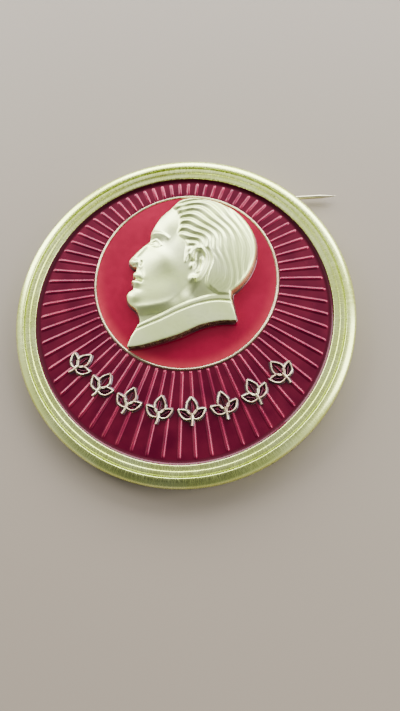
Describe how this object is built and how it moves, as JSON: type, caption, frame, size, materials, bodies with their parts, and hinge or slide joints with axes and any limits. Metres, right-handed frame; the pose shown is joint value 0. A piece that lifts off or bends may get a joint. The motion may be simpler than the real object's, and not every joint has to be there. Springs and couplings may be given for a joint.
{
  "type": "lacquered pin badge",
  "caption": "Round struck metal badge with a gilt rim, red lacquered rays, a raised disc with a relief bust, and a wire pin that slides and swings at the back.",
  "frame": {"origin": "on the table under the centre of the rim, at the lowest point of the pin catch", "axes": "+Z out of the badge's face, +Y towards the top of the badge, +X to the right seen from the front"},
  "size_m": [0.06, 0.06, 0.0078],
  "materials": {
    "gilt_rim": "polished, pale gold anodised",
    "struck_plate": "struck, pale gold anodised",
    "wine_lacquer": "translucent wine-red lacquer",
    "crimson_lacquer": "translucent crimson lacquer",
    "gilt_satin": "satin, pale gold anodised",
    "back_sheet": "rolled sheet",
    "rivet_metal": "headed, satin",
    "pin_steel": "drawn steel wire, brass washed"
  },
  "bodies": {
    "badge": {"rim_ring": "gilt_rim", "face_plate": "struck_plate", "field_enamel": "wine_lacquer", "disc_enamel": "crimson_lacquer", "bust_relief": "gilt_satin", "back_plate": "back_sheet", "pin_strap": "back_sheet", "strap_rivet_upper": "rivet_metal", "strap_rivet_lower": "rivet_metal", "catch_hook": "back_sheet", "hook_rivet": "rivet_metal"},
    "pin_leg": {"pin_wire": "pin_steel"},
    "pin_point": {"pin_arm": "pin_steel"}
  },
  "joints": [
    {"name": "pin_slide", "type": "slide", "parent": "badge", "child": "pin_leg", "axis": [1, 0, 0], "range_m": [-0.007, 0]},
    {"name": "arm_swing", "type": "hinge", "parent": "pin_leg", "child": "pin_point", "pos_m": [-0.013, 0.01605, 0.00069], "axis": [0, 0, 1], "range_deg": [-12.8, 20], "stiffness_Nm_per_rad": 0.05}
  ]
}
